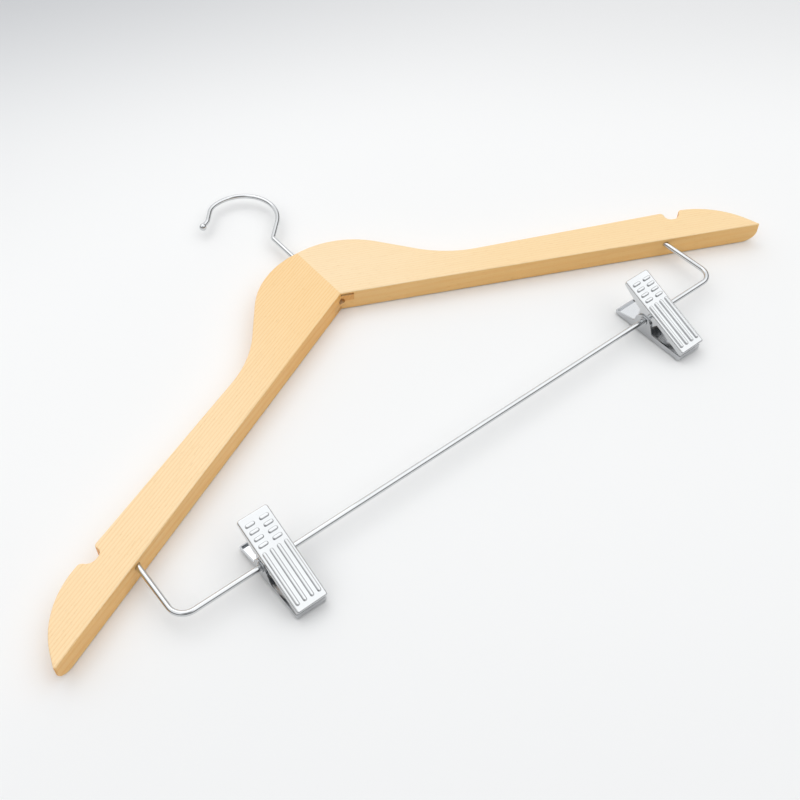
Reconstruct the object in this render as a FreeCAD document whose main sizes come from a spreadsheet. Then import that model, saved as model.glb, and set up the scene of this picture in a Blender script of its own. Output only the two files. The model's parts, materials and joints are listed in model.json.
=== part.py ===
import FreeCAD, Part
import math
import os
import Sketcher

# Skirt hanger in millimetres, lying on its back: X across, +Y toward the hook, +Z out of the front face.
# The pieces are drawn from the inner corner under the head, on the back face of the wood, and are then
# set down so that the origin lies on that face in the middle of the head.

document = FreeCAD.newDocument("skirt_hanger")
sheet = document.addObject("Spreadsheet::Sheet", "sizes")

SIZES = [
    ("origin_rise", 20.0, "origin above the inner corner"),
    ("thickness", 12.0, "thickness of the wooden arms"),
    ("edge_round", 0.7, "rounding of the edges of the front face and of the underside"),
    ("back_round", 6.5, "rounding of the upper and outer back edges of the wood"),
    ("head_rise", 41.4, "top of the head above the inner corner"),
    ("head_reach", 26.4, "corner of the head from the mirror line"),
    ("head_radius", 48.8, "curve from the head into the neck"),
    ("neck_reach", 65.1, "corner of the neck from the mirror line"),
    ("neck_drop", 10.65, "corner of the neck below the inner corner"),
    ("neck_radius", 65.0, "hollow of the neck"),
    ("shoulder_reach", 214.0, "corner of the shoulder from the mirror line"),
    ("shoulder_drop", 74.7, "corner of the shoulder below the inner corner"),
    ("shoulder_radius", 47.0, "curve of the shoulder into the tip"),
    ("tip_reach", 222.2, "corner of the tip from the mirror line"),
    ("tip_drop", 104.2, "corner of the tip below the inner corner"),
    ("notch_back_left", 32.1, "middle of the left strap notch, back along the edge from the shoulder"),
    ("notch_back_right", 27.5, "middle of the right strap notch, back along the edge from the shoulder"),
    ("notch_depth_left", 5.2, "depth of the left strap notch"),
    ("notch_depth_right", 6.4, "depth of the right strap notch"),
    ("notch_near", 3.9, "lip of a strap notch from its middle, on the side of the neck"),
    ("notch_far", 6.2, "lip of a strap notch from its middle, on the side of the shoulder"),
    ("notch_floor", 7.0, "width of a strap notch at its floor"),
    ("notch_floor_radius", 4.6, "hollow corners of a strap notch"),
    ("notch_lip_radius", 2.2, "rounded lips of a strap notch"),
    ("tongue_reach", 6.5, "length of the finger joint tongues"),
    ("tongue_thickness", 3.6, "thickness of the finger joint tongues"),
    ("tongue_cover", 1.0, "wood left above the tongues at the top of the head"),
    ("joint_gap", 0.08, "glue line beside and beyond each tongue"),
    ("slit_height", 1.3, "open slit beside each tongue at the inner corner"),
    ("slit_depth", 6.0, "depth of that slit above the inner corner"),
    ("hook_wire", 2.7, "diameter of the hook wire"),
    ("running_clearance", 0.1, "radial play of turning and sliding fits"),
    ("bore_depth", 8.0, "depth of the bore that opens at the inner corner"),
    ("bore_diameter", 4.0, "diameter of that bore"),
    ("bore_play", 0.1, "radial play of the washer in the bore"),
    ("washer_thickness", 0.6, "thickness of the washer under the wood"),
    ("foot_diameter", 3.4, "diameter of the upset foot of the hook"),
    ("foot_height", 1.2, "height of the upset foot of the hook"),
    ("foot_play", 0.1, "end play between the foot and the washer"),
    ("elbow_rise", 64.8, "start of the hook's elbow above the inner corner"),
    ("elbow_radius", 3.0, "bend of the elbow, on the wire's middle line"),
    ("elbow_turn", 44.0, "turn of the elbow in degrees"),
    ("lead_run", 13.1, "straight wire between the elbow and the round of the hook"),
    ("hook_radius", 21.2, "round of the hook, on the wire's middle line"),
    ("hook_turn", 149.0, "turn of the round in degrees"),
    ("curl_radius", 11.0, "tighter bend behind the round"),
    ("curl_turn", 34.4, "turn of the tighter bend in degrees"),
    ("tip_run", 7.2, "straight wire before the flare"),
    ("flare_radius", 5.0, "outward bend of the flare"),
    ("flare_turn", 20.0, "turn of the flare in degrees"),
    ("flare_run", 4.6, "straight wire from the flare to the middle of the ball"),
    ("ball_diameter", 4.3, "ball at the tip of the hook"),
    ("bar_wire", 2.9, "diameter of the trouser bar"),
    ("bar_depth", 114.2, "trouser bar below the inner corner"),
    ("leg_reach", 170.0, "legs of the bar from the mirror line"),
    ("leg_height", 8.5, "where the legs enter the wood, above its back face"),
    ("leg_depth", 12.0, "depth of the legs in the wood"),
    ("leg_hole_play", 0.2, "radial play of the holes for the legs"),
    ("leg_hole_spare", 0.5, "hole depth left beyond the end of a leg"),
    ("bend_radius", 8.0, "bends of the trouser bar, on the wire's middle line"),
    ("clip_inset_left", 50.0, "middle of the left clip in from the left leg of the bar"),
    ("clip_inset_right", 47.0, "middle of the right clip in from the right leg of the bar"),
    ("sheet_thickness", 0.8, "sheet of the clip plates"),
    ("clip_width", 16.0, "width of the front plate"),
    ("ear_gap", 0.15, "play between the inner and outer ears"),
    ("face_height", 9.0, "outer face of a plate from the pivot"),
    ("half_angle", 11.1, "angle of a plate to the middle plane of the clip in degrees"),
    ("handle_reach", 21.4, "end of the front handle from the foot of the pivot"),
    ("back_reach", 19.2, "end of the back handle from the foot of the pivot"),
    ("jaw_reach", 27.0, "end of the jaw from the foot of the pivot"),
    ("jaw_gap", 0.3, "gap between the closed jaws"),
    ("rim_depth", 2.0, "folded edge at the end of the handle and above the inner ears"),
    ("web_depth", 5.2, "folded edge where it meets an ear on the handle side"),
    ("web_end", 5.9, "that place from the pivot"),
    ("front_strip", 2.5, "folded edge of the front plate where it meets an ear on the jaw side"),
    ("back_strip", 3.7, "folded edge of the back plate where it meets an ear on the jaw side"),
    ("strip_end", 7.1, "that place from the pivot"),
    ("ear_reach", 2.9, "ear past the pivot"),
    ("ear_front", 3.9, "corner of the ear on the jaw side"),
    ("ear_rear", 4.5, "corner of the ear on the handle side"),
    ("ear_round", 4.7, "rounded end of an ear"),
    ("root_round", 1.0, "hollow corners where an ear leaves the folded edge"),
    ("handle_corner", 1.3, "rounded corners at the end of the handle"),
    ("jaw_corner", 1.0, "rounded corners at the end of the jaw"),
    ("face_round", 0.8, "rounded border of the outer face"),
    ("rib_count", 4, "long ribs on the jaw"),
    ("rib_pitch", 3.8, "spacing of the long ribs"),
    ("rib_width", 1.9, "width of a raised rib or bar"),
    ("rib_start", 18.0, "long ribs from the end of the handle"),
    ("rib_length", 27.5, "length of the long ribs"),
    ("rib_height", 0.9, "height of the ribs and bars"),
    ("rib_round", 0.7, "rounded top edges of the ribs and bars"),
    ("dash_rows", 4, "rows of short bars on the handle"),
    ("dash_pitch", 3.55, "spacing of those rows"),
    ("dash_start", 4.4, "first row from the end of the handle"),
    ("dash_spread", 3.7, "middle of a short bar from the middle of the plate"),
    ("dash_length", 5.0, "length of a short bar"),
    ("tube_wall", 0.4, "wall of the pivot tube"),
    ("collar_lip", 0.5, "rolled collars beyond the wall of the pivot tube"),
    ("collar_thickness", 0.5, "thickness of those collars"),
    ("collar_play", 0.1, "play between the collars and the outer ears"),
    ("spring_wire", 1.1, "wire of the torsion spring"),
    ("coil_radius", 3.2, "coil of the spring, on the wire's middle line"),
    ("coil_pitch", 1.9, "spacing of the coils"),
    ("coil_turns", 5, "whole turns of the coil"),
    ("spring_arm", 8.0, "end of a spring arm along the plate from the foot of the pivot"),
    ("spring_gap", 0.3, "gap between a spring arm and the plate"),
]

for row, (name, value, note) in enumerate(SIZES, start=1):
    sheet.set("A%d" % row, note)
    sheet.set("B%d" % row, str(value))
    sheet.setAlias("B%d" % row, name)
document.recompute()


def number(expression):
    """Value of an expression over the sheet, in millimetres or degrees."""
    value = sheet.evalExpression(expression)
    return float(getattr(value, "Value", value))


def new_body(label):
    """Empty body that becomes one piece of the hanger."""
    body = document.addObject("PartDesign::Body", label)
    body.Label = label
    return body


def sketch_on(body, name, plane, offset=("0", "0", "0"), tilt=None):
    """Sketch on one of the body's own planes, moved by offset and turned by tilt degrees about its own X."""
    sketch = body.newObject("Sketcher::SketchObject", name)
    for feature in body.Origin.OriginFeatures:
        if feature.Role == plane:
            sketch.AttachmentSupport = [(feature, "")]
    sketch.MapMode = "FlatFace"
    base = FreeCAD.Vector(*[number(value) for value in offset])
    turn = FreeCAD.Rotation()
    if tilt is not None:
        turn = FreeCAD.Rotation(FreeCAD.Vector(1, 0, 0), number(tilt))
    sketch.AttachmentOffset = FreeCAD.Placement(base, turn)
    for axis, value in zip("xyz", offset):
        if value != "0":
            sketch.setExpression("AttachmentOffset.Base." + axis, value)
    if tilt is not None:
        sketch.setExpression("AttachmentOffset.Rotation.Angle", tilt)
    return sketch


def bind(sketch, constraint, expression):
    """Add a dimension to a sketch and tie it to the sheet."""
    index = sketch.addConstraint(constraint)
    sketch.setExpression("Constraints[%d]" % index, expression)
    return index


def fix_point(sketch, item, point, x, y):
    """Hold a point of the sketch at x, y; a plain zero puts it on the axis."""
    if x == "0":
        sketch.addConstraint(Sketcher.Constraint("PointOnObject", item, point, -2))
    else:
        bind(sketch, Sketcher.Constraint("DistanceX", -1, 1, item, point, number(x)), x)
    if y == "0":
        sketch.addConstraint(Sketcher.Constraint("PointOnObject", item, point, -1))
    else:
        bind(sketch, Sketcher.Constraint("DistanceY", -1, 1, item, point, number(y)), y)


def arc_between(centre, radius, first, last, side):
    """Arc travelled from one angle to the other; side 1 runs to the left, -1 to the right."""
    circle = Part.Circle(centre, FreeCAD.Vector(0, 0, 1), radius)
    if side > 0:
        return Part.ArcOfCircle(circle, first, last)
    return Part.ArcOfCircle(circle, last, first)


def outline(sketch, corners):
    """Closed outline of straight edges; corners are (x, y, radius) expressions, radius None is sharp."""
    points = [FreeCAD.Vector(number(x), number(y), 0) for x, y, radius in corners]
    count = len(corners)
    ends = []
    for index, corner in enumerate(corners):
        here = points[index]
        if corner[2] is None:
            ends.append((here, here, None))
            continue
        back = (points[index - 1] - here).normalize()
        ahead = (points[(index + 1) % count] - here).normalize()
        half = back.getAngle(ahead) / 2
        radius = number(corner[2])
        run = radius / math.tan(half)
        centre = here + (back + ahead).normalize() * (radius / math.sin(half))
        side = 1 if back.cross(ahead).z < 0 else -1
        ends.append((here + back * run, here + ahead * run, (centre, radius, side)))
    lines = []
    for index in range(count):
        line = Part.LineSegment(ends[index][1], ends[(index + 1) % count][0])
        lines.append(sketch.addGeometry(line, False))
    for index, (x, y, radius) in enumerate(corners):
        enter, leave, bend = ends[index]
        line_in = lines[index - 1]
        line_out = lines[index]
        if bend is None:
            sketch.addConstraint(Sketcher.Constraint("Coincident", line_in, 2, line_out, 1))
            fix_point(sketch, line_out, 1, x, y)
            continue
        centre, size, side = bend
        first = math.atan2(enter.y - centre.y, enter.x - centre.x)
        last = math.atan2(leave.y - centre.y, leave.x - centre.x)
        arc = sketch.addGeometry(arc_between(centre, size, first, last, side), False)
        start_point, end_point = (1, 2) if side > 0 else (2, 1)
        sketch.addConstraint(Sketcher.Constraint("Tangent", line_in, 2, arc, start_point))
        sketch.addConstraint(Sketcher.Constraint("Tangent", arc, end_point, line_out, 1))
        bind(sketch, Sketcher.Constraint("Radius", arc, size), radius)
        mark = sketch.addGeometry(Part.Point(points[index]), True)
        sketch.addConstraint(Sketcher.Constraint("PointOnObject", mark, 1, line_in))
        sketch.addConstraint(Sketcher.Constraint("PointOnObject", mark, 1, line_out))
        fix_point(sketch, mark, 1, x, y)


def trace(sketch, start, steps):
    """Wire path that starts up or down the sketch.

    A step is a run (length,) or a bend (radius, turn, side).
    """
    point = FreeCAD.Vector(number(start[0]), number(start[1]), 0)
    heading = math.radians(start[2])
    last_item = None
    last_end = None
    for step in steps:
        if len(step) == 1:
            direction = FreeCAD.Vector(math.cos(heading), math.sin(heading), 0)
            after = point + direction * number(step[0])
            item = sketch.addGeometry(Part.LineSegment(point, after), False)
            enter, leave = 1, 2
        else:
            radius = number(step[0])
            turn = math.radians(number(step[1]))
            side = step[2]
            centre = point + FreeCAD.Vector(-math.sin(heading), math.cos(heading), 0) * (side * radius)
            first = math.atan2(point.y - centre.y, point.x - centre.x)
            last = first + side * turn
            after = centre + FreeCAD.Vector(math.cos(last), math.sin(last), 0) * radius
            item = sketch.addGeometry(arc_between(centre, radius, first, last, side), False)
            enter, leave = (1, 2) if side > 0 else (2, 1)
            heading += side * turn
        if last_item is None:
            fix_point(sketch, item, enter, start[0], start[1])
            sketch.addConstraint(Sketcher.Constraint("Vertical", item))
        else:
            sketch.addConstraint(Sketcher.Constraint("Tangent", last_item, last_end, item, enter))
        if len(step) == 1:
            bind(sketch, Sketcher.Constraint("Distance", item, number(step[0])), step[0])
        else:
            bind(sketch, Sketcher.Constraint("Radius", item, radius), step[0])
            bind(sketch, Sketcher.Constraint("Angle", item, turn), "(%s) * 1 deg" % step[1])
        last_item = item
        last_end = leave
        point = after
    return last_item, last_end, point


def slot(sketch, x, y, length, width):
    """Round-ended slot along the sketch's X or Y, whichever of length (x extent) and width is the longer."""
    extents = (number(length), number(width))
    lying = extents[0] >= extents[1]
    radius = min(extents) / 2
    reach = (max(extents) - min(extents)) / 2
    centre = FreeCAD.Vector(number(x), number(y), 0)
    along = FreeCAD.Vector(1, 0, 0) if lying else FreeCAD.Vector(0, 1, 0)
    aside = FreeCAD.Vector(-along.y, along.x, 0)
    low = sketch.addGeometry(Part.LineSegment(centre - along * reach - aside * radius,
                                              centre + along * reach - aside * radius), False)
    angle = math.atan2(along.y, along.x)
    quarter = math.pi / 2
    head_arc = arc_between(centre + along * reach, radius, angle - quarter, angle + quarter, 1)
    head = sketch.addGeometry(head_arc, False)
    high = sketch.addGeometry(Part.LineSegment(centre + along * reach + aside * radius,
                                               centre - along * reach + aside * radius), False)
    tail_arc = arc_between(centre - along * reach, radius, angle + quarter, angle - quarter, 1)
    tail = sketch.addGeometry(tail_arc, False)
    ring = [(low, 2, head, 1), (head, 2, high, 1), (high, 2, tail, 1), (tail, 2, low, 1)]
    for one, one_end, other, other_end in ring:
        sketch.addConstraint(Sketcher.Constraint("Tangent", one, one_end, other, other_end))
    sketch.addConstraint(Sketcher.Constraint("Equal", head, tail))
    across, lengthwise = (width, length) if lying else (length, width)
    half_run = "((%s) - (%s)) / 2" % (lengthwise, across)
    bind(sketch, Sketcher.Constraint("Radius", head, radius), "(%s) / 2" % across)
    if lying:
        sketch.addConstraint(Sketcher.Constraint("Horizontal", low))
        fix_point(sketch, head, 3, "(%s) + %s" % (x, half_run), y)
        bind(sketch, Sketcher.Constraint("DistanceX", tail, 3, head, 3, 2 * reach), "2 * (%s)" % half_run)
    else:
        sketch.addConstraint(Sketcher.Constraint("Vertical", low))
        fix_point(sketch, head, 3, x, "(%s) + %s" % (y, half_run))
        bind(sketch, Sketcher.Constraint("DistanceY", tail, 3, head, 3, 2 * reach), "2 * (%s)" % half_run)


def circle_at(sketch, x, y, diameter):
    """Circle of a given diameter."""
    centre = FreeCAD.Vector(number(x), number(y), 0)
    size = number(diameter)
    item = sketch.addGeometry(Part.Circle(centre, FreeCAD.Vector(0, 0, 1), size / 2), False)
    bind(sketch, Sketcher.Constraint("Diameter", item, size), diameter)
    fix_point(sketch, item, 3, x, y)


def extrude(body, kind, name, sketch, length, side="Symmetric"):
    """Pad or Pocket of a sketch, evenly to both sides of it unless one side is asked for."""
    feature = body.newObject("PartDesign::" + kind, name)
    feature.Profile = sketch
    feature.SideType = side
    feature.setExpression("Length", length)
    document.recompute()
    return feature


def round_edges(body, name, radius, chosen):
    """Fillet on the edges of the body that the test picks."""
    base = body.Tip
    edges = ["Edge%d" % index for index, edge in enumerate(base.Shape.Edges, start=1) if chosen(edge)]
    feature = body.newObject("PartDesign::Fillet", name)
    feature.Base = (base, edges)
    feature.setExpression("Radius", radius)
    document.recompute()


def sweep_wire(body, name, path, profile):
    """Round wire along a path sketch."""
    feature = body.newObject("PartDesign::AdditivePipe", name)
    feature.Profile = profile
    feature.Spine = path
    document.recompute()


def seat(body, x, y, z, axis=None, angle=None):
    """Set a piece in place, y being from the inner corner, turned by an angle about an axis."""
    y = "(%s) - sizes.origin_rise" % y
    turn = FreeCAD.Rotation()
    if axis is not None:
        turn = FreeCAD.Rotation(FreeCAD.Vector(*axis), number(angle))
    body.Placement = FreeCAD.Placement(FreeCAD.Vector(number(x), number(y), number(z)), turn)
    for letter, value in zip("xyz", (x, y, z)):
        if value != "0":
            body.setExpression("Placement.Base." + letter, value)
    if axis is not None:
        body.setExpression("Placement.Rotation.Angle", angle)
    document.recompute()


def distance(one, other):
    """Expression for the distance between two corners."""
    return "sqrt(((%s) - (%s))^2 + ((%s) - (%s))^2)" % (other[0], one[0], other[1], one[1])


def fitted(before, here, after, radius, share_before, share_after):
    """Radius of a rounded corner, limited to its share of the two edges that meet there."""
    dot = "(((%s) - (%s)) * ((%s) - (%s)) + ((%s) - (%s)) * ((%s) - (%s)))" % (
        before[0], here[0], after[0], here[0], before[1], here[1], after[1], here[1])
    edge_before = distance(before, here)
    edge_after = distance(here, after)
    half = "acos(%s / (%s) / (%s)) / 2" % (dot, edge_before, edge_after)
    room = "min(%s * %s; %s * %s)" % (share_before, edge_before, share_after, edge_after)
    return "min(%s; %s * tan(%s))" % (radius, room, half)


# Wooden arms: one outline each, with the strap notch in it, padded and rounded along the front and back
middle = "sizes.thickness / 2"
edge_fall = "(sizes.shoulder_drop - sizes.neck_drop)"
edge_run = "(sizes.shoulder_reach - sizes.neck_reach)"
edge_angle = "atan2(%s; %s)" % (edge_fall, edge_run)
edge_length = "sqrt(%s^2 + %s^2)" % (edge_run, edge_fall)
entry_depth = "sizes.leg_reach * sizes.tip_drop / sizes.tip_reach"
leg_rise = "(sizes.face_height - sizes.leg_height)"
leg_fall = "(sizes.bar_depth - %s)" % entry_depth
leg_tilt = "atan2(%s; %s)" % (leg_rise, leg_fall)


def notch_corner(sign, notch_back, step, sink):
    """Corner of a strap notch, a step along the upper edge from its middle and sunk below that edge."""
    along = "(%s - %s + (%s))" % (edge_length, notch_back, step)
    x = "%s(sizes.neck_reach + %s * cos(%s) - %s * sin(%s))" % (sign, along, edge_angle, sink, edge_angle)
    y = "-sizes.neck_drop - %s * sin(%s) - %s * cos(%s)" % (along, edge_angle, sink, edge_angle)
    return x, y


def make_arm(label, sign, notch_back, notch_depth, tongue_up):
    """One wooden half; sign is the side of X, tongue_up puts its tongue above the middle of the thickness."""
    body = new_body(label)
    inner = ("0", "0")
    tip = (sign + "sizes.tip_reach", "-sizes.tip_drop")
    shoulder = (sign + "sizes.shoulder_reach", "-sizes.shoulder_drop")
    neck = (sign + "sizes.neck_reach", "-sizes.neck_drop")
    head = (sign + "sizes.head_reach", "sizes.head_rise")
    top = ("0", "sizes.head_rise")
    sketch = sketch_on(body, label + "_outline", "XY_Plane", ("0", "0", middle))
    outline(sketch, [
        inner + (None,),
        tip + (None,),
        shoulder + (fitted(tip, shoulder, neck, "sizes.shoulder_radius", 0.76, 0.3),),
        neck + (fitted(shoulder, neck, head, "sizes.neck_radius", 0.65, 0.5),),
        head + (fitted(neck, head, top, "sizes.head_radius", 0.45, 0.95),),
        top + (None,),
    ])
    extrude(body, "Pad", label + "_board", sketch, "sizes.thickness")
    front_face = number("sizes.thickness")
    slope = "sizes.tip_drop / sizes.tip_reach"
    fall = number(slope)

    def at_back(edge):
        """Edges of the back face along the top and the outside of the arm."""
        corner = min(abs(vertex.X) + abs(vertex.Y) for vertex in edge.Vertexes)
        return edge.BoundBox.ZMax < 1e-6 and corner > 1e-6

    tip_run = "sqrt(sizes.tip_reach^2 + sizes.tip_drop^2)"
    rise = "sizes.shoulder_reach * sizes.tip_drop - sizes.shoulder_drop * sizes.tip_reach"
    shoulder_width = "(%s) / %s" % (rise, tip_run)
    back_round = "min(sizes.back_round; 0.85 * sizes.thickness; 0.5 * %s)" % shoulder_width
    round_edges(body, label + "_back", back_round, at_back)

    # Strap notch: cut through, with hollow corners at its floor and rounded lips
    half_floor = "sizes.notch_floor / 2"
    open_far = notch_corner(sign, notch_back, "2 * sizes.notch_far - " + half_floor, "-" + notch_depth)
    floor_far = notch_corner(sign, notch_back, half_floor, notch_depth)
    floor_near = notch_corner(sign, notch_back, "-" + half_floor, notch_depth)
    open_near = notch_corner(sign, notch_back, half_floor + " - 2 * sizes.notch_near", "-" + notch_depth)
    lip_far = notch_corner(sign, notch_back, "sizes.notch_far", "0")
    lip_near = notch_corner(sign, notch_back, "-sizes.notch_near", "0")
    sketch = sketch_on(body, label + "_notch_outline", "XY_Plane", ("0", "0", middle))
    outline(sketch, [
        open_far + (None,),
        floor_far + (fitted(open_far, floor_far, floor_near, "sizes.notch_floor_radius", 0.27, 0.46),),
        floor_near + (fitted(floor_far, floor_near, open_near, "sizes.notch_floor_radius", 0.46, 0.27),),
        open_near + (None,),
    ])
    extrude(body, "Pocket", label + "_notch", sketch, "2 * sizes.thickness")

    lip_reach = 0.2 * number(notch_depth)

    def at_lip(edge):
        """Upright edges at the mouth of the notch, a little off its corners where the shoulder curves."""
        box = edge.BoundBox
        gaps = [abs(box.XMin - number(x)) + abs(box.YMin - number(y)) for x, y in (lip_far, lip_near)]
        return max(box.XLength, box.YLength) < 1e-6 and min(gaps) < lip_reach

    lip_room = "min(0.4 * %s; 0.32 * %s^2 / %s)" % (notch_depth, back_round, notch_depth)
    lip_round = "min(sizes.notch_lip_radius; %s)" % lip_room
    round_edges(body, label + "_lips", lip_round, at_lip)

    # The edge rounding is held to what the lips and the back rounding leave it, the latter at the sharp tip
    outside = "atan2(sizes.tip_drop - sizes.shoulder_drop; sizes.tip_reach - sizes.shoulder_reach)"
    corner = "(%s - atan2(sizes.tip_drop; sizes.tip_reach))" % outside
    tip_room = "%s * sin(%s) * tan(%s / 2)" % (back_round, corner, corner)

    def at_rim(edge):
        """Edges of the front face and of the straight underside, except those on the seam."""
        places = edge.discretize(5)
        seam = max(abs(place.x) for place in places) < 1e-6
        under = max(abs(place.y + fall * abs(place.x)) for place in places) < 1e-4
        return not seam and (under or edge.BoundBox.ZMin > front_face - 1e-6)

    rim_round = "min(sizes.edge_round; 0.9 * min(%s; %s))" % (lip_round, tip_room)
    round_edges(body, label + "_rim", rim_round, at_rim)

    # The tongue lies on the middle plane and fills the other arm's slot; a slit beside it opens at the corner
    own = "%s %s sizes.tongue_thickness / 2" % (middle, "+" if tongue_up else "-")
    slot_height = "(sizes.tongue_thickness + sizes.joint_gap)"
    other = "%s %s %s / 2" % (middle, "-" if tongue_up else "+", slot_height)
    slit_middle = "%s %s (%s + sizes.slit_height / 2)" % (middle, "-" if tongue_up else "+", slot_height)
    away = "-" if sign == "" else ""
    drop = "max(0; %s - (%s - sizes.tongue_thickness))" % (back_round, middle)
    rounded_off = "(%s - sqrt(%s^2 - (%s)^2))" % (back_round, back_round, drop)
    tongue_top = "(sizes.head_rise - sizes.tongue_cover - %s)" % rounded_off
    slot_top = "%s + sizes.joint_gap" % tongue_top
    slot_end = sign + "(sizes.tongue_reach + sizes.joint_gap)"
    sketch = sketch_on(body, label + "_tongue_outline", "XY_Plane", ("0", "0", own))
    outline(sketch, [
        ("0", "0", None),
        (away + "sizes.tongue_reach", "-sizes.tongue_reach * " + slope, None),
        (away + "sizes.tongue_reach", tongue_top, None),
        ("0", tongue_top, None),
    ])
    extrude(body, "Pad", label + "_tongue", sketch, "sizes.tongue_thickness")
    for name, height, level, top_edge in (
            ("_slot", slot_height, other, slot_top),
            ("_slit", "sizes.slit_height", slit_middle, "sizes.slit_depth"),
    ):
        sketch = sketch_on(body, label + name + "_outline", "XY_Plane", ("0", "0", level))
        outline(sketch, [
            ("0", "-sizes.tip_drop", None),
            (slot_end, "-sizes.tip_drop", None),
            (slot_end, top_edge, None),
            ("0", top_edge, None),
        ])
        extrude(body, "Pocket", label + name, sketch, height)

    # Bore at the inner corner, narrower stem hole through the head and blind hole for a leg of the bar
    sketch = sketch_on(body, label + "_bore_outline", "XZ_Plane")
    circle_at(sketch, "0", middle, "sizes.bore_diameter")
    extrude(body, "Pocket", label + "_bore", sketch, "2 * sizes.bore_depth")
    sketch = sketch_on(body, label + "_stem_outline", "XZ_Plane")
    circle_at(sketch, "0", middle, "sizes.hook_wire + 2 * sizes.running_clearance")
    extrude(body, "Pocket", label + "_stem_hole", sketch, "4 * sizes.head_rise")
    entry = (sign + "sizes.leg_reach", "sizes.leg_height", entry_depth)
    sketch = sketch_on(body, label + "_leg_outline", "XZ_Plane", entry, "-1 * " + leg_tilt)
    circle_at(sketch, "0", "0", "sizes.bar_wire + 2 * sizes.leg_hole_play")
    extrude(body, "Pocket", label + "_leg_hole", sketch, "2 * (sizes.leg_depth + sizes.leg_hole_spare)")
    seat(body, "0", "0", "0")
    return body


left_arm = make_arm("left_arm", "-", "sizes.notch_back_left", "sizes.notch_depth_left", True)
right_arm = make_arm("right_arm", "", "sizes.notch_back_right", "sizes.notch_depth_right", False)

# Hook: round wire on one path from its upset foot to the ball
washer_low = "(sizes.bore_depth - sizes.washer_thickness)"
foot_top = "(%s - sizes.foot_play)" % washer_low
foot_low = "(%s - sizes.foot_height)" % foot_top
hook = new_body("hook")
path = sketch_on(hook, "hook_path", "XY_Plane", ("0", "0", middle))
end_item, end_point, end_place = trace(path, ("0", foot_low, 90), [
    ("sizes.elbow_rise - %s" % foot_low,),
    ("sizes.elbow_radius", "sizes.elbow_turn", -1),
    ("sizes.lead_run",),
    ("sizes.hook_radius", "sizes.hook_turn", 1),
    ("sizes.curl_radius", "sizes.curl_turn", 1),
    ("sizes.tip_run",),
    ("sizes.flare_radius", "sizes.flare_turn", -1),
    ("sizes.flare_run",),
])
for kind, name, value in (("DistanceX", "ball_x", end_place.x), ("DistanceY", "ball_y", end_place.y)):
    index = path.addConstraint(Sketcher.Constraint(kind, -1, 1, end_item, end_point, value))
    path.setDriving(index, False)
    path.renameConstraint(index, name)
profile = sketch_on(hook, "hook_section", "XZ_Plane", ("0", "0", "-1 * " + foot_low))
circle_at(profile, "0", middle, "sizes.hook_wire")
sweep_wire(hook, "hook_sweep", path, profile)
ball = hook.newObject("PartDesign::AdditiveSphere", "hook_ball")
ball.setExpression("Radius", "sizes.ball_diameter / 2")
ball.setExpression("Placement.Base.x", "hook_path.Constraints.ball_x")
ball.setExpression("Placement.Base.y", "hook_path.Constraints.ball_y")
ball.setExpression("Placement.Base.z", middle)
document.recompute()
foot_middle = "-1 * (%s + sizes.foot_height / 2)" % foot_low
sketch = sketch_on(hook, "hook_foot_outline", "XZ_Plane", ("0", "0", foot_middle))
circle_at(sketch, "0", middle, "sizes.foot_diameter")
extrude(hook, "Pad", "hook_foot", sketch, "sizes.foot_height")
seat(hook, "0", "0", "0")

# Washer: flat ring at the end of the bore, between the wood and the foot of the hook
hook_washer = new_body("hook_washer")
sketch = sketch_on(hook_washer, "washer_outline", "XZ_Plane",
                   ("0", "0", "-1 * (%s + sizes.washer_thickness / 2)" % washer_low))
circle_at(sketch, "0", middle, "sizes.bore_diameter - 2 * sizes.bore_play")
circle_at(sketch, "0", middle, "sizes.hook_wire + 2 * sizes.running_clearance")
extrude(hook_washer, "Pad", "washer_ring", sketch, "sizes.washer_thickness")
seat(hook_washer, "0", "0", "0")

# Trouser bar: one bent wire, its plane tilted so the bar lies at the height of the clip pivots
leg_length = "(sqrt(%s^2 + %s^2) + sizes.leg_depth)" % (leg_rise, leg_fall)
trouser_bar = new_body("trouser_bar")
path = sketch_on(trouser_bar, "bar_path", "XY_Plane")
trace(path, ("-sizes.leg_reach", leg_length, -90), [
    ("%s - sizes.bend_radius" % leg_length,),
    ("sizes.bend_radius", "90", 1),
    ("2 * (sizes.leg_reach - sizes.bend_radius)",),
    ("sizes.bend_radius", "90", 1),
    ("%s - sizes.bend_radius" % leg_length,),
])
profile = sketch_on(trouser_bar, "bar_section", "XZ_Plane", ("0", "0", "-1 * " + leg_length))
circle_at(profile, "-sizes.leg_reach", "0", "sizes.bar_wire")
sweep_wire(trouser_bar, "bar_sweep", path, profile)
seat(trouser_bar, "0", "-sizes.bar_depth", "sizes.face_height", (1, 0, 0), "-1 * " + leg_tilt)

# Clip plates: folded sheet with the pivot at the origin, Y toward the handle and Z out of the outer face
outer_width = "(sizes.clip_width + 2 * sizes.ear_gap)"
tube_diameter = "(sizes.bar_wire + 2 * sizes.running_clearance + 2 * sizes.tube_wall)"
jaw_plane = "(sizes.jaw_reach * tan(sizes.half_angle) + sizes.jaw_gap / 2 / cos(sizes.half_angle))"
inner_face = "(sizes.face_height - sizes.sheet_thickness)"
below = "-2 * sizes.face_height"
rim_edge = "sizes.face_height - sizes.rim_depth"
jaw_end = ("-sizes.jaw_reach", jaw_plane)
tip_front = ("-sizes.ear_front", "-sizes.ear_reach")
tip_rear = ("sizes.ear_rear", "-sizes.ear_reach")
root_rear = ("sizes.web_end", "sizes.face_height - sizes.web_depth")


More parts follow.
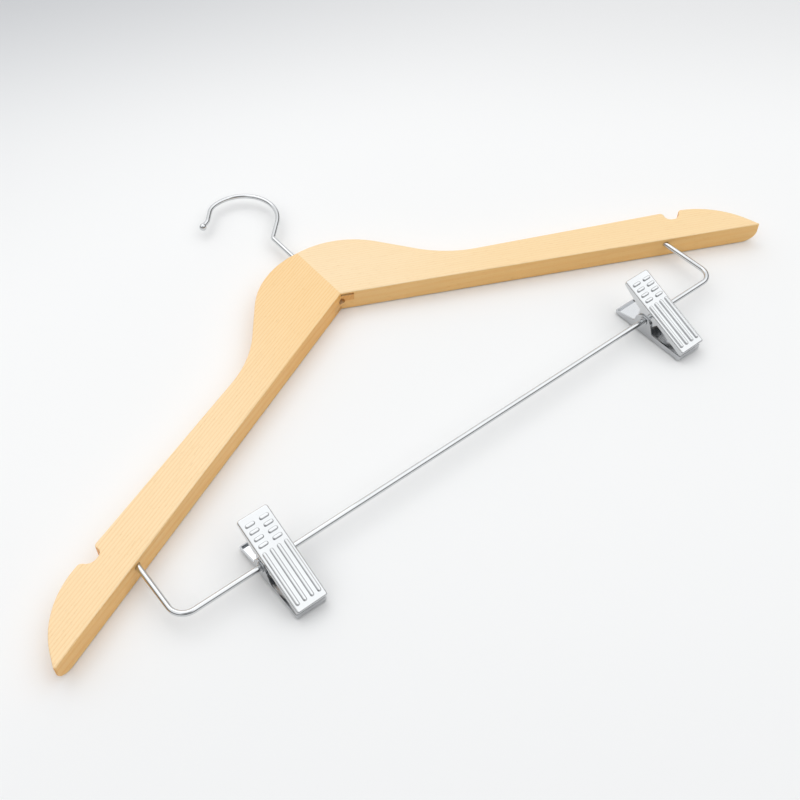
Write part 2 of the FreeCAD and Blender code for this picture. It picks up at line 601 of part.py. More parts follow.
def make_plate(label, x, front):
    """One clip plate; the front one is narrower, has its ears stepped inward and carries the raised ribs."""
    body = new_body(label)
    width = "sizes.clip_width" if front else outer_width
    reach = "sizes.handle_reach" if front else "sizes.back_reach"
    strip = "sizes.front_strip" if front else "sizes.back_strip"
    handle_end = (reach, rim_edge)
    root_front = ("-sizes.strip_end", "sizes.face_height - " + strip)
    ear_corners = [
        tip_front + (fitted(root_front, tip_front, tip_rear, "sizes.ear_round", 0.6, 0.48),),
        tip_rear + (fitted(tip_front, tip_rear, root_rear, "sizes.ear_round", 0.48, 0.6),),
    ]
    sketch = sketch_on(body, label + "_side", "YZ_Plane")
    side = [
        (reach, "sizes.face_height", None),
        ("-sizes.jaw_reach", "sizes.face_height", None),
        jaw_end + (None,),
    ]
    if front:
        side += [
            root_front + (None,),
            ("-sizes.ear_front", rim_edge, None),
            ("sizes.ear_rear", rim_edge, None),
            root_rear + (None,),
        ]
    else:
        side += [root_front + (fitted(jaw_end, root_front, tip_front, "sizes.root_round", 0.3, 0.3),)]
        side += ear_corners
        side += [root_rear + (fitted(tip_rear, root_rear, handle_end, "sizes.root_round", 0.3, 0.3),)]
    outline(sketch, side + [handle_end + (None,)])
    extrude(body, "Pad", label + "_block", sketch, width)
    edge_side = number(width) / 2
    face = number("sizes.face_height")

    def upright_at(edge, end):
        """Corner edges of the plate at one end."""
        box = edge.BoundBox
        upright = max(box.XLength, box.YLength) < 1e-6
        return upright and abs(abs(box.XMin) - edge_side) < 1e-6 and abs(box.YMin - number(end)) < 1e-6

    round_edges(body, label + "_handle_corners", "sizes.handle_corner",
                lambda edge: upright_at(edge, reach))
    round_edges(body, label + "_jaw_corners", "sizes.jaw_corner",
                lambda edge: upright_at(edge, "-sizes.jaw_reach"))

    def on_face(edge):
        """Edges of the outer face."""
        return abs(edge.BoundBox.ZMin - face) < 1e-6

    round_edges(body, label + "_border", "sizes.face_round", on_face)
    sketch = sketch_on(body, label + "_inside", "YZ_Plane")
    outline(sketch, [
        (reach + " - sizes.sheet_thickness", inner_face, None),
        ("-sizes.jaw_reach + sizes.sheet_thickness", inner_face, None),
        ("-sizes.jaw_reach + sizes.sheet_thickness", below, None),
        (reach + " - sizes.sheet_thickness", below, None),
    ])
    extrude(body, "Pocket", label + "_fold", sketch, "%s - 2 * sizes.sheet_thickness" % width)
    if front:
        # The ears of the front plate stand one sheet further in, behind the folded edge
        sketch = sketch_on(body, label + "_ears", "YZ_Plane")
        outline(sketch, [
            ("sizes.web_end", inner_face, None),
            ("-sizes.strip_end", inner_face, None),
            root_front + (None,),
        ] + ear_corners + [
            root_rear + (None,),
        ])
        extrude(body, "Pad", label + "_ear_block", sketch, "%s - 2 * sizes.sheet_thickness" % width)
        sketch = sketch_on(body, label + "_ear_inside", "YZ_Plane")
        outline(sketch, [
            ("2 * sizes.web_end", inner_face, None),
            ("-2 * sizes.strip_end", inner_face, None),
            ("-2 * sizes.strip_end", below, None),
            ("2 * sizes.web_end", below, None),
        ])
        extrude(body, "Pocket", label + "_ear_fold", sketch, "%s - 4 * sizes.sheet_thickness" % width)
    sketch = sketch_on(body, label + "_pivot_outline", "YZ_Plane")
    circle_at(sketch, "0", "0", tube_diameter + " + 2 * sizes.running_clearance")
    extrude(body, "Pocket", label + "_pivot_hole", sketch, "2 * " + width)
    if front:
        # Raised ribs on the jaw and rows of short bars on the handle
        sketch = sketch_on(body, label + "_rib_outline", "XY_Plane", ("0", "0", "sizes.face_height"))
        rib_middle = "sizes.handle_reach - sizes.rib_start - sizes.rib_length / 2"
        first_rib = "-(sizes.rib_count - 1) / 2 * sizes.rib_pitch"
        slot(sketch, first_rib, rib_middle, "sizes.rib_width", "sizes.rib_length")
        rib = extrude(body, "Pad", label + "_rib", sketch, "sizes.rib_height", "One side")
        pattern = body.newObject("PartDesign::LinearPattern", label + "_ribs")
        pattern.Originals = [rib]
        pattern.Direction = (sketch, ["H_Axis"])
        pattern.setExpression("Length", "(sizes.rib_count - 1) * sizes.rib_pitch")
        pattern.setExpression("Occurrences", "sizes.rib_count")
        body.Tip = pattern
        document.recompute()
        sketch = sketch_on(body, label + "_dash_outline", "XY_Plane", ("0", "0", "sizes.face_height"))
        last_row = "sizes.handle_reach - sizes.dash_start - (sizes.dash_rows - 1) * sizes.dash_pitch"
        slot(sketch, "-sizes.dash_spread", last_row, "sizes.dash_length", "sizes.rib_width")
        slot(sketch, "sizes.dash_spread", last_row, "sizes.dash_length", "sizes.rib_width")
        dash = extrude(body, "Pad", label + "_dash", sketch, "sizes.rib_height", "One side")
        pattern = body.newObject("PartDesign::LinearPattern", label + "_dashes")
        pattern.Originals = [dash]
        pattern.Direction = (sketch, ["V_Axis"])
        pattern.setExpression("Length", "(sizes.dash_rows - 1) * sizes.dash_pitch")
        pattern.setExpression("Occurrences", "sizes.dash_rows")
        body.Tip = pattern
        document.recompute()
        crown = face + number("sizes.rib_height")
        round_edges(body, label + "_crowns", "min(sizes.rib_round; 0.9 * sizes.rib_height)",
                    lambda edge: abs(edge.BoundBox.ZMin - crown) < 1e-6)
        seat(body, x, "-sizes.bar_depth", "sizes.face_height", (1, 0, 0), "2 * sizes.half_angle")
    else:
        seat(body, x, "-sizes.bar_depth", "sizes.face_height", (0, 1, 0), "180")
    return body


def make_tube(label, x):
    """Pivot tube with a rolled collar at each end, turned about X."""
    body = new_body(label)
    bore = "(sizes.bar_wire / 2 + sizes.running_clearance)"
    wall = "(%s / 2)" % tube_diameter
    neck = "(%s / 2 + sizes.collar_play)" % outer_width
    end = "(%s + sizes.collar_thickness)" % neck
    collar = "(%s + sizes.collar_lip)" % wall
    sketch = sketch_on(body, label + "_section", "XY_Plane")
    outline(sketch, [
        ("-1 * " + end, bore, None),
        (end, bore, None),
        (end, collar, None),
        (neck, collar, None),
        (neck, wall, None),
        ("-1 * " + neck, wall, None),
        ("-1 * " + neck, collar, None),
        ("-1 * " + end, collar, None),
    ])
    turned = body.newObject("PartDesign::Revolution", label + "_turned")
    turned.Profile = sketch
    turned.ReferenceAxis = (sketch, ["H_Axis"])
    turned.Angle = 360
    document.recompute()
    seat(body, x, "-sizes.bar_depth", "sizes.face_height")
    return body


def arc_with_tangent(start, tangent, end):
    """Arc that leaves start along a tangent and arrives at end."""
    chord = end - start
    angle = tangent.getAngle(chord)
    across = tangent - chord * (tangent.dot(chord) / chord.dot(chord))
    across.normalize()
    crest = start + chord * 0.5 + across * (chord.Length / 2 * math.tan(angle / 2))
    return Part.Arc(start, crest, end)


def biarc(start, start_tangent, end, end_tangent):
    """Two arcs that join smoothly and keep both end tangents."""
    gap = end - start
    both = start_tangent + end_tangent
    square = 2 * (1 - start_tangent.dot(end_tangent))
    slope = gap.dot(both)
    reach = (math.sqrt(slope * slope + square * gap.dot(gap)) - slope) / square
    join = (start + end + (start_tangent - end_tangent) * reach) * 0.5
    join_tangent = (end - start - (start_tangent + end_tangent) * reach) * (0.5 / reach)
    first = arc_with_tangent(start, start_tangent, join)
    join_tangent.normalize()
    second = arc_with_tangent(join, join_tangent, end)
    return [first, second]


def spring_path():
    """Middle line of the torsion spring: an arm, quarter turns of the coil as biarcs, and the other arm."""
    radius = number("sizes.coil_radius")
    pitch = number("sizes.coil_pitch")
    angle = math.radians(number("sizes.half_angle"))
    lift = number(inner_face + " - sizes.spring_wire / 2 - sizes.spring_gap")
    run = number("sizes.spring_arm")
    tip_y = run * math.cos(angle) - lift * math.sin(angle)
    tip_z = run * math.sin(angle) + lift * math.cos(angle)
    reach = math.hypot(tip_y, tip_z)
    first = math.atan2(tip_z, tip_y) + math.acos(radius / reach)
    sweep = 2 * (math.pi - first) + 2 * math.pi * number("sizes.coil_turns")
    quarters = 4 * round(sweep / (2 * math.pi)) + 1
    step = sweep / quarters
    climb = pitch * step / (2 * math.pi)
    half_length = climb * (quarters - 1) / 2
    places = []
    tangents = []
    for index in range(quarters + 1):
        turn = first + index * step
        # The first and last quarter turns climb half as far, so that the arms leave square to the axis
        level = min(max(index - 0.5, 0.0), quarters - 1.0)
        side = half_length - level * climb
        places.append(FreeCAD.Vector(side, radius * math.cos(turn), radius * math.sin(turn)))
        lead = 0.0 if index in (0, quarters) else -climb / step
        tangent = FreeCAD.Vector(lead, -radius * math.sin(turn), radius * math.cos(turn))
        tangents.append(tangent.normalize())
    arm_end = FreeCAD.Vector(half_length, tip_y, tip_z)
    other_end = FreeCAD.Vector(-half_length, tip_y, -tip_z)
    curves = [Part.LineSegment(arm_end, places[0])]
    for index in range(quarters):
        curves.extend(biarc(places[index], tangents[index], places[index + 1], tangents[index + 1]))
    curves.append(Part.LineSegment(places[-1], other_end))
    return curves, 2 * math.pi * radius


def make_spring(label, x):
    """Torsion spring: one unbroken round wire swept along its middle line."""
    curves, turn_length = spring_path()
    path = Part.Wire([curve.toShape() for curve in curves])
    wire = number("sizes.spring_wire")
    start = curves[0].StartPoint
    ring = Part.Circle(start, curves[0].EndPoint - start, wire / 2)
    section = Part.Wire([ring.toShape()])
    spring = document.addObject("Part::Feature", label)
    spring.Label = label
    spring.Shape = path.makePipeShell([section], True, False)
    seat(spring, x, "-sizes.bar_depth", "sizes.face_height", (1, 0, 0), "sizes.half_angle")

    # Least gap of the wire to itself, over points more than half a turn apart along it
    points = path.discretize(600)
    apart = path.Length / (len(points) - 1)
    skip = int(turn_length / 2 / apart)
    least = min(one.distanceToPoint(other)
                for index, one in enumerate(points)
                for other in points[index + skip:])
    print("%s self-gap %.3f mm" % (label, least - wire))
    return spring


pieces = [left_arm, right_arm, hook, hook_washer, trouser_bar]
left_place = "-(sizes.leg_reach - sizes.clip_inset_left)"
right_place = "sizes.leg_reach - sizes.clip_inset_right"
for side, place in (("left", left_place), ("right", right_place)):
    pieces.append(make_plate(side + "_front_plate", place, True))
    pieces.append(make_plate(side + "_back_plate", place, False))
    pieces.append(make_tube(side + "_pivot_tube", place))
    pieces.append(make_spring(side + "_spring", place))

document.recompute()
for item in document.Objects:
    if "Invalid" in item.State or "Error" in item.State:
        raise RuntimeError("%s did not compute: %s" % (item.Label, item.State))
os.makedirs("parts", exist_ok=True)
for piece in pieces:
    if piece.Shape.isNull() or not piece.Shape.isValid() or len(piece.Shape.Solids) != 1:
        raise RuntimeError("%s is not one valid solid" % piece.Label)
    print("%s %.1f mm3" % (piece.Label, piece.Shape.Volume))
    piece.Shape.exportStep("parts/%s.step" % piece.Label)
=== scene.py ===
import json
import math
import bpy
import numpy as np
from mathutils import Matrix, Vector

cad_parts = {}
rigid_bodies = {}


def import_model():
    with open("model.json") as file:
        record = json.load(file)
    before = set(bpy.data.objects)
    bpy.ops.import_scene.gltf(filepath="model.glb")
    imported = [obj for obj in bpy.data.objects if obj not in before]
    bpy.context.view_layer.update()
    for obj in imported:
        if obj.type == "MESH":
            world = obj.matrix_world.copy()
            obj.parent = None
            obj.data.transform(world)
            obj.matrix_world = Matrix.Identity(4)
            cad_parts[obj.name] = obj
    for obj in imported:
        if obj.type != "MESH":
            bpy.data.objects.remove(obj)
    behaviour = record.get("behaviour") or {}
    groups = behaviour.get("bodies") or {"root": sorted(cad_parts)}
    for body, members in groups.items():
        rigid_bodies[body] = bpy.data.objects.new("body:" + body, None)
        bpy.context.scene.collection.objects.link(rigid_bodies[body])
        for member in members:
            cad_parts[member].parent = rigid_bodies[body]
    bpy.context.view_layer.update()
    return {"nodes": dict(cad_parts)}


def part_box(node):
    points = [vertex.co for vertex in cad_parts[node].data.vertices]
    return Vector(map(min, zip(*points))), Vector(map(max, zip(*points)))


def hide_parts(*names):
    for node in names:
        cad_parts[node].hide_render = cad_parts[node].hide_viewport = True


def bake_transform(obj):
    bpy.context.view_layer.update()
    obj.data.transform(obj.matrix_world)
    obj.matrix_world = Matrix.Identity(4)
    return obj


for item in list(bpy.data.objects):
    bpy.data.objects.remove(item)
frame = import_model()

# Wooden arms
# Two boards of pale beech, sawn along the grain, rounded over and finished with a thin satin lacquer.
# They are glued on fingers at the head, so the grain changes direction along the seam.


def put(tree, kind, inputs=None, **settings):
    """Add one shader node, set it up, and fill its sockets with plain values or with other sockets."""
    node = tree.nodes.new(kind)
    for name, value in settings.items():
        setattr(node, name, value)
    for name, value in (inputs or {}).items():
        if isinstance(value, bpy.types.NodeSocket):
            tree.links.new(value, node.inputs[name])
        else:
            node.inputs[name].default_value = value
    return node


def start_finish(name):
    """Empty material with a surface shader.

    Gives the material, its tree, the shader and the object's own place."""
    material = bpy.data.materials.new(name)
    material.use_nodes = True
    tree = material.node_tree
    tree.nodes.clear()
    surface = put(tree, "ShaderNodeBsdfPrincipled")
    put(tree, "ShaderNodeOutputMaterial", {"Surface": surface.outputs["BSDF"]})
    place = put(tree, "ShaderNodeTexCoord").outputs["Object"]
    return material, tree, surface, place


def grains(tree, place, scale, detail=2.0, roughness=0.5):
    """Noise between 0 and 1 whose grains are 1 / scale metres long along each axis."""
    stretched = put(tree, "ShaderNodeMapping", {"Vector": place, "Scale": scale}).outputs["Vector"]
    noise = put(tree, "ShaderNodeTexNoise",
                {"Vector": stretched, "Scale": 1.0, "Detail": detail, "Roughness": roughness})
    return noise.outputs["Fac"]


def spread(tree, value, low, high, new_low=0.0, new_high=1.0):
    """Carry a value smoothly from low..high onto new_low..new_high, held at both ends."""
    node = put(tree, "ShaderNodeMapRange",
               {"Value": value, "From Min": low, "From Max": high, "To Min": new_low, "To Max": new_high})
    node.interpolation_type = "SMOOTHSTEP"
    return node.outputs["Result"]


def sums(tree, kind, first, second):
    """Arithmetic on two values."""
    return put(tree, "ShaderNodeMath", {0: first, 1: second}, operation=kind).outputs["Value"]


def single(tree, kind, value):
    """Arithmetic on one value."""
    return put(tree, "ShaderNodeMath", {0: value}, operation=kind).outputs["Value"]


def along(tree, vector, axis):
    """Dot product of a vector with a fixed axis."""
    return put(tree, "ShaderNodeVectorMath", {0: vector, 1: axis}, operation="DOT_PRODUCT").outputs["Value"]


def coordinate(tree, vector, axis):
    """One coordinate of a vector, X, Y or Z."""
    return put(tree, "ShaderNodeSeparateXYZ", {"Vector": vector}).outputs[axis]


def tinted(tree, share, colour, other, kind="MIX"):
    """Mix or multiply one colour with another by a share between 0 and 1."""
    node = put(tree, "ShaderNodeMix", {0: share, 6: colour, 7: other}, data_type="RGBA", blend_type=kind)
    return node.outputs[2]


def beech(name, turn, face, head, contrast):
    """Beech along a board turned by an angle.

    Rings are sin(ring_rate * r + wander) with r the distance from a far pith. Fibres and ray flecks are noise
    drawn out along the grain. End grain is darker than the face. The sides of the board are darker and more
    orange: partly the wood's own edge tone, partly painted shade and painted bounce light."""
    pith, ring_rate, ring_wander = (0.0, 0.15, 0.04), 3900.0, 9.0
    head_end, arm_start = 0.01, 0.11
    cloud_tint, cloud_share = (0.985, 0.955, 0.90, 1.0), 0.5
    ring_tint = (0.97, 0.90, 0.79, 1.0)
    fibre_tint, fibre_share = (0.975, 0.94, 0.885, 1.0), 0.6
    fleck_tint, fleck_share = (0.86, 0.76, 0.62, 1.0), 0.55
    # Side faces are multiplied darker and more orange: partly edge tone, partly painted shade and painted
    # bounce light
    edge_tone_and_painted_shade_tint = (1.0, 0.82, 0.52, 1.0)
    end_tint, end_share = (0.82, 0.68, 0.50, 1.0), 0.8

    material, tree, surface, place = start_finish(name)
    turned = put(tree, "ShaderNodeMapping", {"Vector": place, "Rotation": (0.0, 0.0, turn)})
    board = turned.outputs["Vector"]
    across = put(tree, "ShaderNodeMapping", {"Vector": board, "Location": pith, "Scale": (0.03, 1.0, 1.0)})
    radius = put(tree, "ShaderNodeVectorMath", {0: across.outputs["Vector"]}, operation="LENGTH")
    wander = sums(tree, "MULTIPLY", grains(tree, board, (9.0, 60.0, 60.0), 3.0), ring_wander)
    phase = sums(tree, "ADD", sums(tree, "MULTIPLY", radius.outputs["Value"], ring_rate), wander)
    rings = spread(tree, single(tree, "SINE", phase), -0.2, 1.0)
    fibres = spread(tree, grains(tree, board, (34.0, 1500.0, 1500.0), 3.0, 0.6), 0.35, 0.7)
    flecks = spread(tree, grains(tree, board, (330.0, 2700.0, 2700.0), 1.0), 0.64, 0.74)
    clouds = spread(tree, grains(tree, board, (8.0, 28.0, 28.0), 2.0), 0.3, 0.7)

    # Masks of the end grain, of the side faces (partly painted shade) and of the head
    normal = put(tree, "ShaderNodeTexCoord").outputs["Normal"]
    facing = along(tree, normal, (math.cos(turn), -math.sin(turn), 0.0))
    end_grain = spread(tree, single(tree, "ABSOLUTE", facing), 0.45, 0.95)
    edge_tone_and_painted_shade_mask = spread(tree, single(tree, "ABSOLUTE", coordinate(tree, normal, "Z")), 0.85, 0.3)
    reach = single(tree, "ABSOLUTE", coordinate(tree, place, "X"))

    colour = tinted(tree, spread(tree, reach, head_end, arm_start), head, face)
    colour = tinted(tree, sums(tree, "MULTIPLY", clouds, cloud_share), colour, cloud_tint, "MULTIPLY")
    colour = tinted(tree, sums(tree, "MULTIPLY", rings, contrast), colour, ring_tint, "MULTIPLY")
    colour = tinted(tree, sums(tree, "MULTIPLY", fibres, fibre_share), colour, fibre_tint, "MULTIPLY")
    colour = tinted(tree, sums(tree, "MULTIPLY", flecks, fleck_share), colour, fleck_tint, "MULTIPLY")
    # Painted shade: side faces tinted darker and more orange than the face, partly the wood's edge tone
    colour = tinted(tree, edge_tone_and_painted_shade_mask, colour, edge_tone_and_painted_shade_tint, "MULTIPLY")
    colour = tinted(tree, sums(tree, "MULTIPLY", end_grain, end_share), colour, end_tint, "MULTIPLY")
    relief = sums(tree, "ADD", sums(tree, "MULTIPLY", fibres, 0.4), sums(tree, "MULTIPLY", flecks, -0.6))
    bump = put(tree, "ShaderNodeBump", {"Height": relief, "Strength": 0.15, "Distance": 0.0001})
    tree.links.new(colour, surface.inputs["Base Color"])
    tree.links.new(spread(tree, fibres, 0.0, 1.0, 0.46, 0.58), surface.inputs["Roughness"])
    tree.links.new(bump.outputs["Normal"], surface.inputs["Normal"])
    surface.inputs["Coat Weight"].default_value = 0.12
    surface.inputs["Coat Roughness"].default_value = 0.3
    return material


grain_slope = math.radians(24.0)
left_face, left_head, left_contrast = (0.985, 0.74, 0.44, 1.0), (0.975, 0.685, 0.35, 1.0), 0.9
right_face, right_head, right_contrast = (0.985, 0.74, 0.425, 1.0), (0.985, 0.77, 0.49, 1.0), 0.5
left_board = beech("left_beech", -grain_slope, left_face, left_head, left_contrast)
right_board = beech("right_beech", grain_slope, right_face, right_head, right_contrast)
frame["nodes"]["left_arm"].material_slots[0].material = left_board
frame["nodes"]["right_arm"].material_slots[0].material = right_board

# Washer under the hook
# A small flat ring of plain steel that sits at the end of the bore in the head.
# The upset foot of the hook turns against it.


def metal(name, tint, polish, ripple, stretch=(1.0, 1.0, 1.0)):
    """Metal whose polish clouds slowly between two roughnesses and whose surface keeps a fine ripple."""
    cloud_rate, line_rate, line_gloss, cloud_shade = 70.0, 900.0, 0.02, 0.96
    material, tree, surface, place = start_finish(name)
    clouds = grains(tree, place, (cloud_rate, cloud_rate, cloud_rate), 3.0)
    lines = grains(tree, place, tuple(line_rate * share for share in stretch), 2.0)
    dull = tuple(cloud_shade * part for part in tint[:3]) + (1.0,)
    shade = tinted(tree, spread(tree, clouds, 0.3, 0.7), tint, dull)
    gloss = sums(tree, "ADD", spread(tree, clouds, 0.25, 0.75, polish[0], polish[1]),
                 sums(tree, "MULTIPLY", lines, line_gloss))
    bump = put(tree, "ShaderNodeBump", {"Height": lines, "Strength": ripple, "Distance": 0.00005})
    tree.links.new(shade, surface.inputs["Base Color"])
    tree.links.new(gloss, surface.inputs["Roughness"])
    tree.links.new(bump.outputs["Normal"], surface.inputs["Normal"])
    surface.inputs["Metallic"].default_value = 1.0
    return material


plain_steel = metal("plain_steel", (0.62, 0.63, 0.65, 1.0), (0.22, 0.34), 0.25)
frame["nodes"]["hook_washer"].material_slots[0].material = plain_steel

# Hook
# One piece of bright plated wire, bent to a round with a flared tip that ends in a ball.
# It goes down through the seam of the head and turns on its upset foot.
plated_wire = metal("plated_wire", (0.66, 0.67, 0.68, 1.0), (0.02, 0.06), 0.02)
frame["nodes"]["hook"].material_slots[0].material = plated_wire

# Trouser bar
# A second piece of the same plated wire, bent down at both ends.
# Its legs are glued into holes in the undersides of the arms.
frame["nodes"]["trouser_bar"].material_slots[0].material = plated_wire

# Clips
# Each clip is two folded plates of bright plated sheet that turn on a rolled tube over the bar.
# The front plate is polished, with ribs on its jaw and short bars on its handle; the back plate is duller.
plated_sheet = metal("plated_sheet", (0.67, 0.68, 0.69, 1.0), (0.02, 0.06), 0.02)
satin_sheet = metal("satin_sheet", (0.60, 0.61, 0.625, 1.0), (0.12, 0.19), 0.03)
rolled_tube = metal("rolled_tube", (0.58, 0.59, 0.60, 1.0), (0.10, 0.18), 0.08, (0.2, 1.0, 1.0))
for side in ("left", "right"):
    frame["nodes"][side + "_front_plate"].material_slots[0].material = plated_sheet
    frame["nodes"][side + "_back_plate"].material_slots[0].material = satin_sheet
    frame["nodes"][side + "_pivot_tube"].material_slots[0].material = rolled_tube

# Clip springs
# A torsion spring of hard drawn wire is wound round each tube, one arm under each handle.
# On the real clip its turns wind up as the jaw opens; here the coil is one fixed mesh.


def torsion_spring(name, middle):
    """Round wire along a coil about X: angle a = first + sweep * t, place = (level, R cos a, R sin a).

    A straight arm leaves along the tangent at each end. The section is a circle in the radial and sideways
    directions."""
    coil, wire, pitch, turns = 0.0032, 0.0011, 0.0019, 5
    tilt = math.radians(11.1)
    lift, run = 0.00735, 0.0080
    sides, quarter_steps, arm_steps = 16, 24, 8
    tip_y = run * math.cos(tilt) - lift * math.sin(tilt)
    tip_z = run * math.sin(tilt) + lift * math.cos(tilt)
    arm = math.sqrt(tip_y ** 2 + tip_z ** 2 - coil ** 2)
    first = math.atan2(tip_z, tip_y) + math.acos(coil / math.hypot(tip_y, tip_z))
    sweep = 2.0 * (math.pi - first) + 2.0 * math.pi * turns
    quarters = 4 * round(sweep / (2.0 * math.pi)) + 1
    climb = pitch * sweep / quarters / (2.0 * math.pi)

    # The first and last quarter turns ease into the slope of the coil
    count = np.linspace(0.0, quarters, quarter_steps * quarters + 1)
    level = np.where(count < 1.0, count ** 2 / 2.0, count - 0.5)
    level = np.where(count > quarters - 1.0, quarters - 1.0 - (quarters - count) ** 2 / 2.0, level)
    level = climb * ((quarters - 1.0) / 2.0 - level)
    angle = first + sweep * count / quarters
    radial = np.stack([0.0 * angle, np.cos(angle), np.sin(angle)], 1)
    path = coil * radial + np.stack([level, 0.0 * level, 0.0 * level], 1)
    ahead = np.array([[0.0, -math.sin(first), math.cos(first)]])
    behind = np.array([[0.0, -math.sin(first + sweep), math.cos(first + sweep)]])
    steps = np.linspace(1.0, 0.0, arm_steps + 1)[:-1, None]
    path = np.concatenate([path[:1] - ahead * arm * steps, path, path[-1:] + behind * arm * steps[::-1]])
    radial = np.concatenate([np.repeat(radial[:1], arm_steps, 0), radial,
                             np.repeat(radial[-1:], arm_steps, 0)])
    tangent = np.gradient(path, axis=0)
    tangent /= np.linalg.norm(tangent, axis=1, keepdims=True)
    sideways = np.cross(tangent, radial)
    sideways /= np.linalg.norm(sideways, axis=1, keepdims=True)

    around = np.linspace(0.0, 2.0 * math.pi, sides, endpoint=False)
    rings = (path[:, None, :] + wire / 2.0 * (np.cos(around)[None, :, None] * radial[:, None, :]
                                             + np.sin(around)[None, :, None] * sideways[:, None, :]))
    points = np.concatenate([rings.reshape(-1, 3), path[:1], path[-1:]])
    turned = np.stack([points[:, 0] + middle[0],
                       points[:, 1] * math.cos(tilt) - points[:, 2] * math.sin(tilt) + middle[1],
                       points[:, 1] * math.sin(tilt) + points[:, 2] * math.cos(tilt) + middle[2]], 1)

    rows = len(path)
    row, column = np.meshgrid(np.arange(rows - 1), np.arange(sides), indexing="ij")
    start = row * sides + column
    beside = row * sides + (column + 1) % sides
    walls = np.stack([start, beside, beside + sides, start + sides], -1).reshape(-1, 4)
    ring = np.arange(sides)
    after = (ring + 1) % sides
    last = (rows - 1) * sides
    caps = np.concatenate([np.stack([np.full(sides, rows * sides), after, ring], 1),
                           np.stack([np.full(sides, rows * sides + 1), last + ring, last + after], 1)])
    mesh = bpy.data.meshes.new(name)
    mesh.from_pydata(turned.tolist(), [], walls.tolist() + caps.tolist())
    mesh.polygons.foreach_set("use_smooth", np.arange(len(mesh.polygons)) < len(walls))
    mesh.update()
    piece = bpy.data.objects.new(name, mesh)
    bpy.context.scene.collection.objects.link(piece)
    return piece, (quarters - 1) * climb / 2.0


spring_wire = metal("spring_wire", (0.50, 0.51, 0.53, 1.0), (0.20, 0.32), 0.15)
for side in ("left", "right"):
    low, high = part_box(side + "_pivot_tube")
    pivot = (low + high) / 2.0
    piece, half_coil = torsion_spring(side + "_coil", pivot)
    piece.data.materials.append(spring_wire)
    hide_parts(side + "_spring")
    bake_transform(piece)

# Table
# A wide matt white sheet under the hanger.
# Painted shade: its colour is made greyer and a little bluer toward the back, most of all at the far left,
# and a little darker toward the front, where the light falls off.
half, drop = 6.0, -0.0004
table_mesh = bpy.data.meshes.new("table")
table_corners = [(-half, -half, drop), (half, -half, drop), (half, half, drop), (-half, half, drop)]
table_mesh.from_pydata(table_corners, [], [(0, 1, 2, 3)])
table = bpy.data.objects.new("table", table_mesh)
bpy.context.scene.collection.objects.link(table)
sheet_white, tree, surface, place = start_finish("sheet_white")
depth = along(tree, place, (0.62, 0.78, 0.0))
far_left_painted_falloff = along(tree, place, (-0.05, 1.0, 0.0))
# Painted shade: the light's falloff toward the back, the far left and the front is multiplied into the
# sheet's colour
shade = tinted(tree, spread(tree, depth, 0.12, 0.36), (0.93, 0.93, 0.93, 1.0), (0.78, 0.78, 0.785, 1.0))
shade = tinted(tree, spread(tree, far_left_painted_falloff, 0.08, 0.55), shade, (0.66, 0.67, 0.69, 1.0), "MULTIPLY")
shade = tinted(tree, spread(tree, depth, -0.1, -0.45), shade, (0.93, 0.93, 0.935, 1.0), "MULTIPLY")
tree.links.new(shade, surface.inputs["Base Color"])
surface.inputs["Roughness"].default_value = 0.9
surface.inputs["Specular IOR Level"].default_value = 0.0
table_mesh.materials.append(sheet_white)

# Studio light
# One wide soft box hangs over the hanger in a pale room. The room is dark low down, except at the back, and
# dark round the stand from which the picture is taken, but its far walls look pale to the camera.
# A weaker lamp at the back throws the soft shadows toward the front.


def blended(tree, share, first, second):
    """Mix of two values by a share between 0 and 1."""
    return put(tree, "ShaderNodeMix", {0: share, 2: first, 3: second}).outputs[0]


def cone(tree, ray, axis, outer, inner):
    """1 within an inner angle in degrees from an axis, falling to 0 at an outer one."""
    return spread(tree, along(tree, ray, axis), math.cos(math.radians(outer)), math.cos(math.radians(inner)))


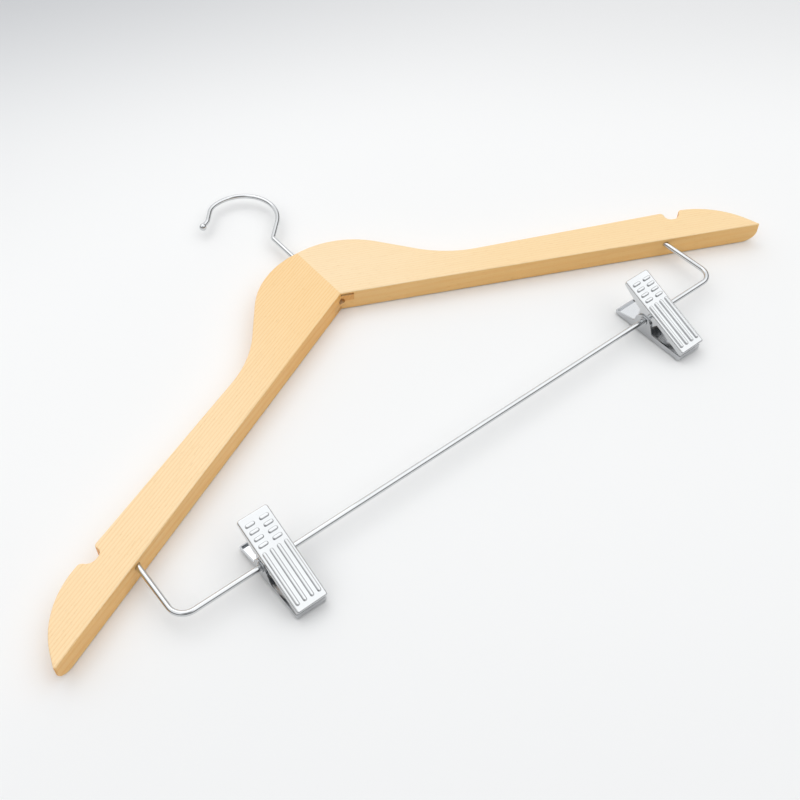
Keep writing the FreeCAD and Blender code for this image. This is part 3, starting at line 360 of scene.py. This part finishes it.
upper_level, box_level, stand_level = 1.17, 1.45, 0.3
low_level, back_level = 0.14, 0.9
world = bpy.data.worlds.new("studio")
bpy.context.scene.world = world
world.use_nodes = True
tree = world.node_tree
tree.nodes.clear()
ray = put(tree, "ShaderNodeTexCoord").outputs["Generated"]
box = cone(tree, ray, (0.30, -0.05, 0.953), 44.0, 26.0)
stand = cone(tree, ray, (-0.30, -0.55, 0.78), 24.0, 12.0)
walls = spread(tree, along(tree, ray, (0.10, 0.995, 0.0)), 0.45, 0.8, low_level, back_level)
room = blended(tree, spread(tree, coordinate(tree, ray, "Z"), 0.33, 0.66), walls, upper_level)
level = blended(tree, stand, blended(tree, box, room, box_level), stand_level)
sky = tinted(tree, 1.0, (0.985, 0.995, 1.0, 1.0), level, "MULTIPLY")
seen = put(tree, "ShaderNodeLightPath").outputs["Is Camera Ray"]
sky = tinted(tree, seen, sky, (0.85, 0.855, 0.865, 1.0))
background = put(tree, "ShaderNodeBackground", {"Color": sky, "Strength": 1.0})
put(tree, "ShaderNodeOutputWorld", {"Surface": background.outputs["Background"]})

lamp_data = bpy.data.lights.new("soft_lamp", "AREA")
lamp_data.shape = "RECTANGLE"
lamp_data.size = 0.8
lamp_data.size_y = 0.6
lamp_data.energy = 1.1
lamp = bpy.data.objects.new("soft_lamp", lamp_data)
lamp.location = (0.0, 0.75, 1.1)
lamp.rotation_euler = (math.radians(-36.0), 0.0, 0.0)
bpy.context.scene.collection.objects.link(lamp)

# Camera
# It stands to the front left of the hanger and looks down on it at about 50 degrees.
film_width, focal_share = 36.0, 1078.2 / 800.0
look_down, roll, turn_right = 49.77, 0.09, 38.44
camera_data = bpy.data.cameras.new("camera")
camera_data.sensor_width = film_width
camera_data.lens = focal_share * film_width
camera_data.clip_start = 0.01
camera = bpy.data.objects.new("camera", camera_data)
camera.location = (-0.2351, -0.3687, 0.4186)
camera.rotation_euler = (math.radians(90.0 - look_down), math.radians(roll), math.radians(-turn_right))
bpy.context.scene.collection.objects.link(camera)
bpy.context.scene.camera = camera
bpy.context.scene.view_settings.view_transform = "Standard"
